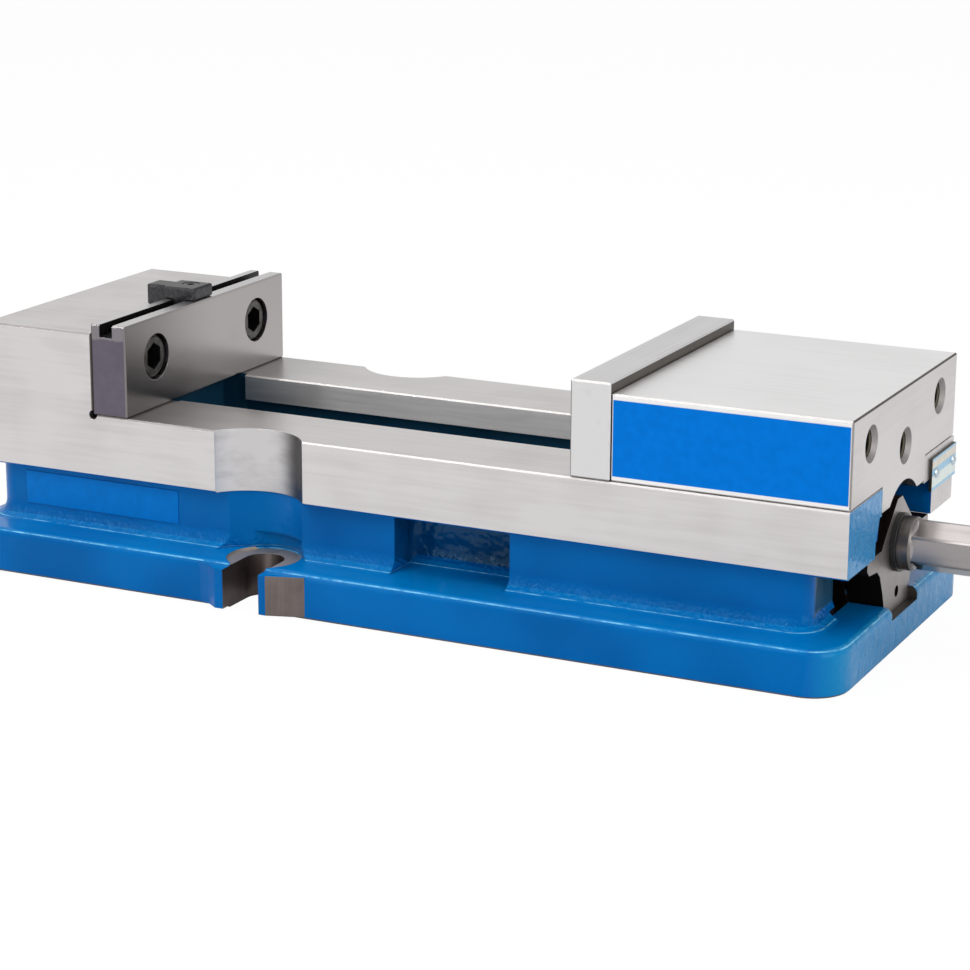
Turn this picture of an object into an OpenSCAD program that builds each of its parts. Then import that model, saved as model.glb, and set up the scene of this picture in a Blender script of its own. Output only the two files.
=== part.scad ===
// Machine vise with an iron body, an integral fixed jaw and a movable jaw that an angled
// nut pulls down onto the bed. Millimetres. X runs along the screw from the clamping face
// of the fixed jaw plate, Y runs across the bed, Z runs up from the underside of the base.

/* [Jaws] */
// Width of the jaw plates, the bed and the fixed jaw block
jaw_w = 101.6; // [96:0.2:112]
// Height of the jaw plates above the bed
plate_h = 30.2; // [29:0.2:36]
// Thickness of each jaw plate
plate_t = 13; // [12:0.5:16]
// Widest opening between the two plates
opening = 156.4; // [140:0.2:175]
// Height of the jaw blocks above the bed
block_h = 26.9; // [25.6:0.1:28]
// Length of the fixed jaw block behind its plate
block_l = 41.2; // [36:0.2:50]
// Length of the movable jaw behind its plate
jaw_l = 75.2; // [72:0.2:84]
// How much narrower the movable jaw is than its plate
jaw_inset = 0.6; // [0.5:0.1:2]
// Ground chamfer on the edges of the jaws
chamfer = 0.5; // [0.3:0.1:1]
// Depth of the jaw's keel between the rails as a share of the bed's height
keel_share = 0.143; // [0.12:0.001:0.155]
// Width of the stop groove along the top of the fixed plate
groove_w = 4.8; // [4:0.1:5.4]
// Depth of the stop groove
groove_h = 4.1; // [3:0.1:5]
// Thickness of the plate's lip in front of the stop groove
groove_lip = 4.8; // [4:0.1:6]

/* [Plate screws] */
// Distance of each plate screw from the centreline
plate_screw_y = 32.2; // [26:0.2:38]
// Height of the plate screws above the bed
plate_screw_z = 17; // [15:0.2:19]
// Thread diameter of the plate screws
plate_screw_d = 9.5; // [8:0.1:10]
// Head diameter of the plate screws
head_d = 14; // [13:0.1:15]
// Head height of the plate screws
head_h = 8.2; // [6:0.2:9]
// Key size of the plate screws, across flats
key_af = 7.9; // [6:0.1:8.2]
// Length of the screws' thread beyond the plate
grip = 18; // [12:0.5:20]

/* [Body casting] */
// Height of the bed above the underside
bed_h = 54; // [52:0.5:60]
// Width of the base flange
base_w = 124.8; // [120:0.2:136]
// Thickness of the base flange as a share of the bed's height
flange_share = 0.27; // [0.24:0.005:0.285]
// Radius of the flange's upper edge
edge_r = 2.5; // [1:0.1:4]
// Radius of the flange's corners in plan
corner_r = 12.5; // [8:0.5:16]
// How far the flange reaches past the rails at the screw end
flange_past = 2; // [1.6:0.1:6]
// How far the flange reaches past the fixed jaw block
flange_back = 3; // [1:0.1:8]
// Height of the rails' machined sides as a share of the bed's height
rail_share = 0.38; // [0.34:0.005:0.4]
// Width across the two webs under the rails
web_w = 93; // [90:0.5:95]
// Radius of the web's corners
web_r = 6; // [3:0.5:8]
// Radius of the cast fillet at the foot of the web
foot_r = 5; // [3:0.5:6]
// How far the rails reach past the web at the screw end
rail_past = 12.7; // [12:0.1:15]
// Width of the channel between the rails
channel_w = 41.4; // [40:0.2:43]
// Depth of the machined channel walls as a share of the bed's height
land_share = 0.161; // [0.158:0.001:0.18]
// Width of the cast undercut below each channel wall
undercut = 1.9; // [1:0.1:3]
// Width of the channel under the rails
cavity_w = 51; // [49:0.5:56]
// Radius of the cast corners along the channel's floor
floor_r = 5; // [3:0.5:7]
// Distance from the clamping face to where the machined channel walls start
channel_x = 1; // [0.4:0.1:2]
// Distance that the cast channel reaches back under the fixed jaw plate
channel_back = 8; // [4:0.5:10]
// Length of the pocket in each web
pocket_l = 39.8; // [30:0.2:50]
// Depth of the pocket in each web
pocket_d = 13; // [8:0.5:15]
// Distance from the clamping face to the pockets
pocket_x = 95; // [85:0.5:105]
// Width of the relief under the far rail at its screw end, from the centreline
relief_y = 29; // [26.5:0.5:30]
// Width of the alignment keyways in the underside
keyway_w = 15.9; // [12:0.1:18]
// Depth of the alignment keyways
keyway_h = 4.5; // [3:0.1:5]
// Length of a keyway along the screw
keyway_l = 30; // [20:1:40]
// Plain ends of the underside beyond the front keyway
keyway_end = 15; // [10:1:30]

/* [Hold-down slots] */
// Distance from the clamping face to the hold-down slots
slot_x = 50.4; // [46:0.2:54]
// Distance from the clamping face to the clearance notches in the rails
notch_x = 48.6; // [44:0.2:52]
// Width of the hold-down slots
slot_w = 13; // [11:0.1:14]
// Distance of each slot's round end from the centreline
slot_y = 51; // [50:0.5:53]
// Diameter of the spotface round each slot
spot_d = 24; // [22:0.5:27]
// Depth of the spotface in the flange
spot_h = 0.8; // [0.4:0.1:1.5]
// How far the boss round each slot stands out from the flange
boss_out = 3.8; // [2:0.1:5]
// Radius of the clearance notch in each rail
notch_r = 18.8; // [17:0.2:22]
// Depth of the clearance notch in each rail
notch_d = 8.9; // [7:0.1:10]

/* [Screw] */
// Diameter of the lead screw
screw_d = 15.9; // [14:0.1:16.2]
// Distance of the screw's axis below the bed as a share of the bed's height
drop_share = 0.4074; // [0.395:0.0001:0.42]
// Diameter of the screw's shoulder outside the bracket
shoulder_d = 16.7; // [16.4:0.1:20]
// Length of the screw's shoulder
shoulder_l = 3.6; // [2:0.1:6]
// Hexagonal drive end, across flats
hex_af = 14; // [12:0.1:14.4]
// Length of the hexagonal drive end
hex_l = 28; // [22:0.5:40]
// Thickness of the screw's bearing bracket
bracket_t = 11; // [10:0.1:11.2]
// Height of the bracket's gable above the screw's axis
gable_h = 14; // [12.5:0.1:14.2]
// Height of the bracket's shoulders above its wings
shoulder_h = 3.2; // [2:0.1:4]
// Half width of the bracket across its wings
wing_y = 29.5; // [27:0.5:31]
// Width of the bracket's foot
foot_w = 24.4; // [22:0.2:27]
// Depth of the bracket's foot below the top of the flange
foot_h = 3.9; // [2:0.1:5]
// Thickness of the wall that the bracket bears on
wall_t = 12; // [11:0.5:14]
// Outer diameter of the thrust bearing and its collar
thrust_d = 23; // [21:0.1:23.4]
// Thickness of each race of the thrust bearing
race_t = 1; // [0.8:0.1:1.4]
// Diameter of the thrust bearing's rollers
roller_d = 2.8; // [2.4:0.1:3]
// Number of rollers in the thrust bearing
roller_n = 14; // [10:1:15]
// Width of the thrust collar
collar_w = 7; // [6:0.1:8]
// Thickness of the seal ring outside the bracket
seal_t = 1.6; // [1:0.1:2.5]
// Outer diameter of the seal ring
seal_d = 18.2; // [17.6:0.1:20]

/* [Nut and half ball] */
// Length of the nut
nut_l = 38; // [34:0.5:40]
// Width of the nut's lower block
nut_w = 40; // [34:0.5:43]
// Height of the nut's lower block as a share of the bed's height
nut_share = 0.444; // [0.4:0.001:0.455]
// Width of the nut's tongue inside the jaw
tongue_w = 24; // [20:0.5:30]
// Radius of the half ball
ball_r = 9; // [8:0.1:9.4]
// Thickness of the jaw's roof above the nut
roof_t = 5.4; // [4:0.1:6]
// Diameter of the jaw's set screw and its rear tapped holes
tap_d = 8.5; // [7:0.1:10]
// Distance of the outer rear tapped holes from the centreline
tap_y = 33.3; // [28:0.1:38]
// Height of the outer rear tapped holes above the bed
tap_z = 16.5; // [14:0.1:18]
// Height of the jaw's set screw above the bed
set_z = 8.3; // [7.4:0.1:10]

/* [Work stop] */
// Width of the work stop along the jaw
stop_w = 12.2; // [10:0.2:16]
// Height of the work stop above the plate
stop_h = 4.3; // [3.4:0.1:6]
// Distance of the stop's front face behind the clamping face
stop_back = 1.3; // [0.5:0.1:2.5]
// Length of the stop's block over the plate
stop_l = 12.5; // [12.2:0.1:14]
// Length of the stop's rear tab over the jaw block
tab_l = 7.4; // [5:0.1:10]
// Width of the stop's rear tab
tab_w = 8; // [6:0.2:10]
// Diameter of the stop's clamping screw
stop_screw_d = 4; // [3:0.1:4.4]

/* [Labels] */
// Thickness of the printed labels
label_t = 0.25; // [0.2:0.05:0.3]
// Plain margin above and below the label on the movable jaw
label_margin = 1.8; // [1:0.1:4]
// Length of the label on the body
body_label_l = 58.8; // [40:0.2:70]
// Distance from the back face to the label on the body
body_label_back = 11.4; // [8:0.2:16]
// Plain web above the label on the body
body_label_gap = 2.9; // [2:0.1:5]
// Thickness of the data plate
data_t = 1; // [0.5:0.1:1.4]
// Clear margin between the channel and the data plate
data_margin = 5; // [3:0.1:8]
// Height of the data plate
data_h = 10.4; // [9:0.1:14]
// Distance of the data plate below the bed's top
data_drop = 2.1; // [1:0.1:4]
// Diameter of the data plate's rivet heads
rivet_d = 3.6; // [2.8:0.1:4.2]

/* [Fits] */
// Radial clearance of shafts, screws and the half ball
fit = 0.05; // [0.03:0.01:0.08]
// Clearance between sliding faces
slide = 0.1; // [0.05:0.01:0.2]

/* [Hidden] */
$fn = 64;
overlap = 1;
flange_h = bed_h * flange_share;
rail_h = bed_h * rail_share;
keel_h = bed_h * keel_share;
land_h = bed_h * land_share;
screw_drop = bed_h * drop_share;
nut_h = bed_h * nut_share;
arch_d = 39;
ground_edge = 0.6;
jaw_y = jaw_w / 2;
back_x = -plate_t - block_l;
plate_x = opening;
jaw_x = opening + plate_t;
end_x = jaw_x + jaw_l;
web_end = end_x - rail_past;
base_end = end_x + flange_past;
base_start = back_x - flange_back;
rail_z = bed_h - rail_h;
block_z = bed_h + block_h;
plate_z = bed_h + plate_h;
axis_z = bed_h - screw_drop;
bracket_gap = 0.9;
bracket_x = end_x - bracket_gap;
bracket_back = bracket_x - bracket_t;
wall_x = bracket_back - wall_t;
wall_z = bed_h - land_h + slide;
wing_z = rail_z - 2 * slide;
screw_start = 12;
shoulder_x = bracket_x + slide + seal_t + slide;
hex_x = shoulder_x + shoulder_l;
hex_corner_d = 15.7;
race_x = bracket_back - race_t;
cage_x = race_x - roller_d - 2 * fit;
turning_x = cage_x - race_t;
collar_x = turning_x - collar_w;
nut_end = collar_x - 1.5;
nut_start = nut_end - nut_l;
tongue_top = block_z - roof_t - 1.5;
ball_z = tongue_top - 11;
ball_x = nut_end - 29;
slot_r = slot_w / 2;
notch_y = jaw_y - notch_d + notch_r;
cast_notch_r = notch_r + 0.6;
label_y = jaw_y - jaw_inset;
body_label_h = rail_z - flange_h - foot_r - body_label_gap;
groove_x = -groove_lip - groove_w;
stop_front = -stop_back;
stop_rear = stop_front - stop_l;
stop_top = plate_z + stop_h;
stop_screw_x = groove_x + groove_w / 2;
stop_screw_y = 1.6;
pin_d = 3.6;
bracket_screw_y = 21.5;
bracket_screw_z = 30.6;
bracket_screw_d = 4;
bracket_screw_grip = 6;
bracket_head_d = 7;
bracket_key_af = 3;
bracket_hole_d = bracket_screw_d + 2 * fit;

enamel = [0.01, 0.35, 0.66];
ground_steel = [0.78, 0.77, 0.76];
dark_steel = [0.25, 0.25, 0.26];
black_rubber = [0.05, 0.05, 0.05];
label_blue = [0.0, 0.45, 0.88];

// Sweeps a Y-Z outline along X
module along_x(x0, x1) {
    translate([x0, 0, 0]) rotate([90, 0, 90]) linear_extrude(x1 - x0) children();
}

// Sweeps an X-Z outline across Y, centred on the vise
module across_y(w) {
    rotate([90, 0, 0]) linear_extrude(w, center = true) children();
}

// A round bar along X
module bar_x(x0, x1, d) {
    translate([x0, 0, 0]) rotate([0, 90, 0]) cylinder(h = x1 - x0, d = d);
}

// Square with its four corners cut at 45 degrees
module cut_square(w, h, c) {
    polygon([
        [c, 0], [w - c, 0], [w, c], [w, h - c],
        [w - c, h], [c, h], [0, h - c], [0, c]
    ]);
}

// Ground block with a chamfer on all twelve edges
module ground_block(l, w, h, c) {
    intersection() {
        linear_extrude(h) cut_square(l, w, c);
        rotate([90, 0, 90]) linear_extrude(l) cut_square(w, h, c);
        translate([0, w, 0]) rotate([90, 0, 0]) linear_extrude(w) cut_square(l, h, c);
    }
}

// Outline of a slab's edge: upper outer corner rounded, lower one cut at 45 degrees
module edge_outline(w, h, r) {
    square([w - r, h]);
    polygon([[0, 0], [w - ground_edge, 0], [w, ground_edge], [w, h - r], [0, h - r]]);
    translate([w - r, h - r]) circle(r = r);
}

// Outline of a whole slab, with both upper corners rounded and both lower ones cut
module slab_outline(w, h, r) {
    c = ground_edge;
    translate([r - w, 0]) square([2 * (w - r), h]);
    polygon([[c - w, 0], [w - c, 0], [w, c], [w, h - r], [-w, h - r], [-w, c]]);
    for (side = [-1, 1]) translate([side * (w - r), h - r]) circle(r = r);
}

// Slab with rounded corners in plan and a rounded upper edge
module cast_slab(x0, x1, w, h, corner, edge) {
    y = w / 2;
    for (x = [x0 + corner, x1 - corner], side = [-1, 1])
        translate([x, side * (y - corner), 0]) rotate_extrude() edge_outline(corner, h, edge);
    along_x(x0 + corner, x1 - corner) slab_outline(y, h, edge);
    translate([(x0 + x1) / 2, 0, 0]) across_y(w - 2 * corner) slab_outline((x1 - x0) / 2, h, edge);
}

// Outline of a concave fillet that stands on a floor against a wall
module fillet_outline(r) {
    difference() {
        translate([-overlap, -overlap]) square(r + overlap);
        translate([r, r]) circle(r = r);
    }
}

// Fillet round the foot of a slab with rounded corners
module foot_fillet(x0, x1, w, corner, r) {
    y = w / 2;
    for (x = [x0 + corner, x1 - corner], side = [-1, 1])
        translate([x, side * (y - corner), 0]) rotate_extrude()
            translate([corner, 0]) fillet_outline(r);
    for (m = [0, 1]) mirror([0, m, 0])
        along_x(x0 + corner, x1 - corner) translate([y, 0]) fillet_outline(r);
    for (end = [0, 1])
        translate([end == 0 ? x0 : x1, 0, 0]) mirror([end == 0 ? 1 : 0, 0, 0])
            across_y(w - 2 * corner) fillet_outline(r);
}

// Hold-down slot, open at the flange's edge, as a plan outline
module slot_outline(r) {
    translate([slot_x, slot_y]) circle(r = r);
    translate([slot_x - r, slot_y]) square([2 * r, base_w]);
}

// Flange boss that carries one hold-down slot
module slot_boss() {
    y = base_w / 2;
    translate([0, 0, ground_edge]) linear_extrude(flange_h - 1 - ground_edge) polygon([
        [slot_x - 22, y - 3], [slot_x - 17, y], [slot_x - 13, y + 0.3 * boss_out],
        [slot_x - 9.5, y + boss_out], [slot_x + 9, y + boss_out], [slot_x + 21, y],
        [slot_x + 21, y - 3]
    ]);
}

// Section of the channel, with machined walls above a cast undercut
module channel_outline() {
    top = bed_h - land_h;
    c = channel_w / 2;
    polygon([
        [-c - chamfer, bed_h + overlap], [-c - chamfer, bed_h], [-c, bed_h - chamfer],
        [-c, top], [-c - undercut, top], [-cavity_w / 2, rail_z], [cavity_w / 2, rail_z],
        [c + undercut, top], [c, top], [c, bed_h - chamfer], [c + chamfer, bed_h],
        [c + chamfer, bed_h + overlap]
    ]);
    translate([-cavity_w / 2, flange_h + floor_r]) square([cavity_w, rail_z - flange_h]);
    translate([-cavity_w / 2 + floor_r, flange_h]) square([cavity_w - 2 * floor_r, floor_r * 2]);
    for (side = [-1, 1])
        translate([side * (cavity_w / 2 - floor_r), flange_h + floor_r]) circle(r = floor_r);
}

// Section of the cast end of the channel, hidden under the fixed jaw plate
module channel_end_outline() {
    c = channel_w / 2 + undercut;
    translate([-c, flange_h + floor_r]) square([2 * c, bed_h - flange_h - floor_r + overlap]);
    translate([floor_r - c, flange_h]) square([2 * (c - floor_r), 2 * floor_r]);
    for (side = [-1, 1]) translate([side * (c - floor_r), flange_h + floor_r]) circle(r = floor_r);
}

// Section of the rails' upper part, with ground edges
module rail_outline() {
    translate([-jaw_y, rail_z]) cut_square(jaw_w, rail_h, chamfer);
}

// One half of the bearing bracket's outline, seen from the drive end
function bracket_half() = [
    [2.2, axis_z + gable_h],
    [13.2, wing_z + shoulder_h],
    [16.2, wing_z],
    [wing_y, wing_z],
    [wing_y, wing_z - 3],
    [wing_y - 2, wing_z - 4.8],
    [wing_y - 9.5, wing_z - 5.6],
    [wing_y - 12.5, wing_z - 8],
    [foot_w / 2 + 1.4, flange_h + 4],
    [foot_w / 2, flange_h],
    [foot_w / 2, flange_h - foot_h]
];

module bracket_outline() {
    half = bracket_half();
    polygon(concat(half, [for (i = [len(half) - 1:-1:0]) [-half[i][0], half[i][1]]]));
}

// Iron casting: flange, webs, rails and the fixed jaw block in one piece
module body() {
    color(enamel) difference() {
        union() {
            cast_slab(base_start, base_end, base_w, flange_h, corner_r, edge_r);
            for (m = [0, 1]) mirror([0, m, 0]) slot_boss();
            difference() {
                union() {
                    translate([0, 0, flange_h - overlap])
                        cast_slab(back_x, web_end, web_w, rail_z - flange_h + 2 * overlap, web_r, 0.2);
                    translate([0, 0, flange_h]) foot_fillet(back_x, web_end, web_w, web_r, foot_r);
                }
                for (m = [0, 1]) mirror([0, m, 0]) web_pocket();
            }
            for (m = [0, 1]) mirror([0, m, 0]) pocket_fillet();
            along_x(back_x, end_x) rail_outline();
            translate([back_x, -jaw_y, rail_z]) ground_block(block_l, jaw_w, block_z - rail_z, chamfer);
        }
        body_cuts();
    }
}

module web_pocket() {
    r = 3;
    y = web_w / 2 - pocket_d;
    translate([0, 0, flange_h]) linear_extrude(rail_z - flange_h) {
        translate([pocket_x + r, y]) square([pocket_l - 2 * r, base_w]);
        translate([pocket_x, y + r]) square([pocket_l, base_w]);
        for (x = [pocket_x + r, pocket_x + pocket_l - r])
            translate([x, y + r]) circle(r = r);
    }
}

module pocket_fillet() {
    translate([0, web_w / 2 - pocket_d, flange_h])
        along_x(pocket_x, pocket_x + pocket_l) fillet_outline(foot_r);
}

module body_cuts() {
    along_x(channel_x, wall_x) channel_outline();
    along_x(-channel_back, channel_x + overlap) channel_end_outline();
    along_x(bracket_back, end_x + overlap) channel_outline();
    translate([wall_x - overlap, -channel_w / 2, wall_z])
        cube([end_x - wall_x + 2 * overlap, channel_w, bed_h]);
    translate([bracket_back, 0, rail_z - overlap])
        cube([end_x, relief_y, bed_h - land_h - rail_z + overlap]);
    translate([bracket_back, -wing_y - 1, flange_h])
        cube([end_x, 2 * wing_y + 2, rail_z - flange_h]);
    along_x(bracket_back, base_end + overlap) bracket_foot_outline();
    translate([0, 0, axis_z]) bar_x(wall_x - overlap, bracket_back + overlap, thrust_d + 1);
    for (m = [0, 1]) mirror([0, m, 0]) {
        translate([notch_x, notch_y, rail_z]) cylinder(h = bed_h, r = notch_r);
        translate([notch_x, notch_y, flange_h]) cylinder(h = rail_z - flange_h, r = cast_notch_r);
        translate([wall_x - overlap, foot_w / 2 + 2, flange_h])
            cube([wall_t + 2 * overlap, cavity_w / 2 - foot_w / 2 - 2, (axis_z - flange_h) * 0.6]);
        translate([slot_x, slot_y, flange_h - spot_h]) cylinder(h = 6, d = spot_d);
        translate([0, 0, -overlap]) linear_extrude(flange_h + 2) slot_outline(slot_r);
        translate([0, bracket_screw_y, bracket_screw_z]) {
            bar_x(wall_x - overlap, wall_x + bracket_screw_d, 2 * bracket_screw_d);
            bar_x(wall_x, bracket_back + overlap, bracket_hole_d);
        }
        translate([-plate_t - grip - 2, plate_screw_y, bed_h + plate_screw_z])
            bar_x(0, grip + 2 + overlap, plate_screw_d + 2 * fit);
    }
    translate([-plate_t, 0, bed_h]) across_y(jaw_w + 2) circle(d = 3, $fn = 32);
    for (y = data_rivet_y()) translate([0, y, data_z() + data_h / 2])
        bar_x(end_x - 4, end_x + overlap, rivet_hole());
    keyways();
    bracket_pin_hole();
}

module bracket_foot_outline() {
    translate([-foot_w / 2 - slide, flange_h - foot_h - slide])
        square([foot_w + 2 * slide, foot_h + 2]);
}

module bracket_pin_hole() {
    translate([0, 0, flange_h + 1.6]) bar_x(bracket_back - 5, bracket_back + overlap, pin_d);
}

// Blind keyways in the underside, along and across the screw
module keyways() {
    for (x = [back_x + 10, web_end - keyway_end - keyway_l]) translate([x, -keyway_w / 2, -overlap])
        cube([keyway_l, keyway_w, keyway_h + overlap]);
    for (side = [0, 1]) mirror([0, side, 0]) translate([slot_x - keyway_w / 2, 8, -overlap])
        cube([keyway_w, slot_y - slot_r - 14, keyway_h + overlap]);
}

// Counterbored holes for the two plate screws, from the clamping face towards +X
module plate_holes() {
    for (side = [-1, 1]) translate([0, side * plate_screw_y, bed_h + plate_screw_z]) {
        bar_x(-overlap, plate_t + overlap, plate_screw_d + 2 * fit);
        bar_x(-overlap, head_h + 1, head_d + 1.2);
    }
}

module fixed_jaw_plate() {
    color(ground_steel) difference() {
        translate([-plate_t, -jaw_y, bed_h]) ground_block(plate_t, jaw_w, plate_h, chamfer);
        mirror([1, 0, 0]) plate_holes();
        translate([groove_x, -jaw_w, plate_z - groove_h]) cube([groove_w, 2 * jaw_w, plate_h]);
    }
}

module movable_jaw_plate() {
    color(ground_steel) translate([plate_x, 0, 0]) difference() {
        translate([0, -jaw_y, bed_h + slide])
            ground_block(plate_t, jaw_w, plate_h - slide, chamfer);
        plate_holes();
    }
}

// One socket head screw along +X, its head's top at x = 0
module socket_screw(head, high, key, shank, long) {
    difference() {
        union() {
            bar_x(0.6, high, head);
            bar_x(0, 0.7, head - 1.2);
            bar_x(high - 0.1, high + long, shank);
        }
        translate([-overlap, 0, 0]) rotate([0, 90, 0])
            cylinder(h = high * 0.6 + overlap, d = key / cos(30), $fn = 6);
    }
}

module plate_screws() {
    for (side = [-1, 1]) translate([1, side * plate_screw_y, bed_h + plate_screw_z])
        socket_screw(head_d, head_h, key_af, plate_screw_d, plate_t - head_h + grip);
}

module fixed_plate_screws() {
    color(dark_steel) mirror([1, 0, 0]) plate_screws();
}

module movable_plate_screws() {
    color(dark_steel) translate([plate_x, 0, 0]) plate_screws();
}

// Stop that slides along the plate's groove, with a tab over the jaw block
module work_stop() {
    tongue_z = plate_z - groove_h + 0.3;
    color(dark_steel) difference() {
        union() {
            translate([stop_rear, -stop_w / 2, plate_z + slide])
                ground_block(stop_l, stop_w, stop_h - slide, 0.6);
            translate([stop_rear - tab_l, -tab_w / 2, block_z + 0.3])
                ground_block(tab_l + 2.5, tab_w, stop_top - block_z - 0.6, 0.6);
            translate([groove_x + slide, -stop_w / 2, tongue_z])
                cube([groove_w - 2 * slide, stop_w, plate_z - tongue_z + 2]);
        }
        translate([-plate_t - slide * 2, -stop_w, block_z])
            cube([groove_x + plate_t + slide * 3, 2 * stop_w, plate_z + slide - block_z]);
        translate([stop_screw_x, stop_screw_y, tongue_z - overlap])
            cylinder(h = plate_h, d = stop_screw_d + 2 * fit);
        translate([stop_screw_x, stop_screw_y, stop_top - 1.6])
            cylinder(h = 3, d = stop_screw_d + 2);
    }
}

module work_stop_screw() {
    low = plate_z - groove_h + 0.1;
    color(dark_steel) translate([stop_screw_x, stop_screw_y, 0]) difference() {
        union() {
            translate([0, 0, low]) cylinder(h = stop_top - low - 0.6, d = stop_screw_d);
            translate([0, 0, stop_top - 1.55]) cylinder(h = 1.35, d = stop_screw_d + 1.8);
        }
        translate([0, 0, stop_top - 2.2]) cylinder(h = 3, d = stop_screw_d * 0.7, $fn = 6);
    }
}

// Space inside the movable jaw for the nut's tongue and the half ball
module jaw_cavity() {
    wall = 3.5 * sqrt(2);
    left = ball_x - ball_r - 1.2;
    right = nut_end + 1.5;
    low = bed_h - keel_h - overlap;
    top = tongue_top + 1.5;
    across_y(tongue_w + 2) polygon([
        [ball_x + ball_z - low - wall, low], [right, low], [right, top], [left, top],
        [left, ball_z + ball_x - left - wall]
    ]);
    translate([ball_x, 0, ball_z]) sphere(r = ball_r + fit, $fn = 64);
}

// Movable jaw: block, keel between the rails, and the socket that the half ball pulls on
module movable_jaw() {
    keel_w = channel_w - 2 * slide;
    color(ground_steel) difference() {
        union() {
            translate([jaw_x, -jaw_y + jaw_inset, bed_h + slide])
                ground_block(jaw_l, jaw_w - 2 * jaw_inset, block_h - slide, chamfer);
            translate([jaw_x + 2, -keel_w / 2, bed_h - keel_h])
                cube([jaw_l - 2, keel_w, keel_h + 5]);
        }
        translate([0, 0, axis_z]) bar_x(jaw_x, end_x + overlap, arch_d);
        jaw_cavity();
        for (side = [-1, 1]) {
            translate([0, side * plate_screw_y, bed_h + plate_screw_z])
                bar_x(jaw_x - overlap, jaw_x + grip + 2, plate_screw_d + 2 * fit);
            translate([0, side * tap_y, bed_h + tap_z]) tapped_hole(20);
        }
        translate([0, 0, bed_h + set_z]) tapped_hole(end_x - nut_end);
    }
}

// Tapped hole with a wide chamfer in the rear face of the movable jaw
module tapped_hole(depth) {
    bar_x(end_x - depth, end_x + overlap, tap_d + 2 * fit);
    translate([end_x - 1.5, 0, 0]) rotate([0, 90, 0]) cylinder(h = 1.6, d1 = tap_d, d2 = tap_d + 3.2);
}

module jaw_set_screw() {
    color(dark_steel) translate([0, 0, bed_h + set_z]) difference() {
        bar_x(nut_end, end_x - 7, tap_d);
        translate([end_x - 12, 0, 0]) rotate([0, 90, 0]) cylinder(h = 12, d = tap_d * 0.6, $fn = 6);
    }
}

// Nut with a ramp that faces forwards and down, so that it pulls the jaw onto the bed
module jaw_nut() {
    color(dark_steel) difference() {
        union() {
            translate([nut_start, -nut_w / 2, axis_z - nut_h / 2])
                ground_block(nut_l, nut_w, nut_h, 1);
            intersection() {
                across_y(tongue_w) nut_tongue_outline();
                translate([ball_x - ball_r - 0.6, -nut_w, axis_z]) cube([nut_l, 2 * nut_w, bed_h]);
            }
        }
        translate([0, 0, axis_z]) bar_x(nut_start - overlap, nut_end + overlap, screw_d + 2 * fit);
    }
}

module nut_tongue_outline() {
    low = axis_z + screw_d / 2 + 1;
    polygon([
        [ball_x + ball_z - low, low], [nut_end, low], [nut_end, tongue_top],
        [ball_x + ball_z - tongue_top, tongue_top]
    ]);
}

module half_ball() {
    color(ground_steel) translate([ball_x, 0, ball_z]) rotate([0, -45, 0]) difference() {
        sphere(r = ball_r, $fn = 64);
        translate([0, -ball_r * 2, -ball_r * 2]) cube(ball_r * 4);
    }
}

// Screw that turns in the bracket: threaded bar, shoulder and hexagonal drive end
module lead_screw() {
    tip = hex_x + hex_l;
    color(ground_steel) translate([0, 0, axis_z]) difference() {
        union() {
            bar_x(screw_start + 2, shoulder_x + overlap, screw_d);
            translate([screw_start, 0, 0]) rotate([0, 90, 0])
                cylinder(h = 2, d1 = screw_d - 4, d2 = screw_d);
            bar_x(shoulder_x, hex_x, shoulder_d);
            translate([hex_x, 0, 0]) rotate([0, 90, 0])
                cylinder(h = 1.6, d1 = shoulder_d, d2 = hex_af - 0.5);
            intersection() {
                translate([hex_x - overlap, 0, 0]) rotate([0, 90, 0])
                    cylinder(h = hex_l + overlap, d = hex_af / cos(30), $fn = 6);
                union() {
                    bar_x(hex_x - overlap, tip - 1.2, hex_corner_d);
                    translate([tip - 1.2, 0, 0]) rotate([0, 90, 0])
                        cylinder(h = 1.2, d1 = hex_corner_d, d2 = hex_af - 1.4);
                }
            }
        }
        collar_pin_hole();
    }
}

module collar_pin_hole() {
    translate([collar_x + collar_w / 2, 0, 0]) rotate([90, 0, 0])
        cylinder(h = thrust_d + 2, d = 4 + 2 * fit, center = true);
}

module thrust_collar() {
    color(dark_steel) translate([0, 0, axis_z]) difference() {
        bar_x(collar_x, collar_x + collar_w, thrust_d);
        bar_x(collar_x - overlap, turning_x + overlap, screw_d + 2 * fit);
        collar_pin_hole();
    }
}

module collar_pin() {
    color(ground_steel) translate([collar_x + collar_w / 2, 0, axis_z]) rotate([90, 0, 0])
        cylinder(h = thrust_d - 1, d = 4, center = true);
}

module race(x, bore) {
    translate([0, 0, axis_z]) difference() {
        bar_x(x, x + race_t, thrust_d);
        bar_x(x - overlap, x + race_t + overlap, bore);
    }
}

module fixed_race() {
    color(ground_steel) race(race_x, screw_d + 0.6);
}

module turning_race() {
    color(ground_steel) race(turning_x, screw_d + 2 * fit);
}

// Rollers of the thrust bearing, each on a spoke round the screw's axis
module rollers(d, l) {
    middle = (thrust_d + screw_d) / 4 + 0.2;
    for (i = [0:roller_n - 1])
        translate([cage_x + fit + roller_d / 2, 0, axis_z]) rotate([i * 360 / roller_n, 0, 0])
            translate([0, 0, middle]) cylinder(h = l, d = d, center = true, $fn = 32);
}

module thrust_cage() {
    side = (roller_d - 1.6) / 2;
    color("goldenrod") difference() {
        translate([0, 0, axis_z]) difference() {
            bar_x(cage_x + fit + side, cage_x + fit + side + 1.6, thrust_d - 0.4);
            bar_x(cage_x, race_x, screw_d + 0.6);
        }
        rollers(roller_d + 0.1, (thrust_d - screw_d) / 2 - 1.4);
    }
}

module thrust_rollers() {
    color(ground_steel) rollers(roller_d, (thrust_d - screw_d) / 2 - 1.5);
}

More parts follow.
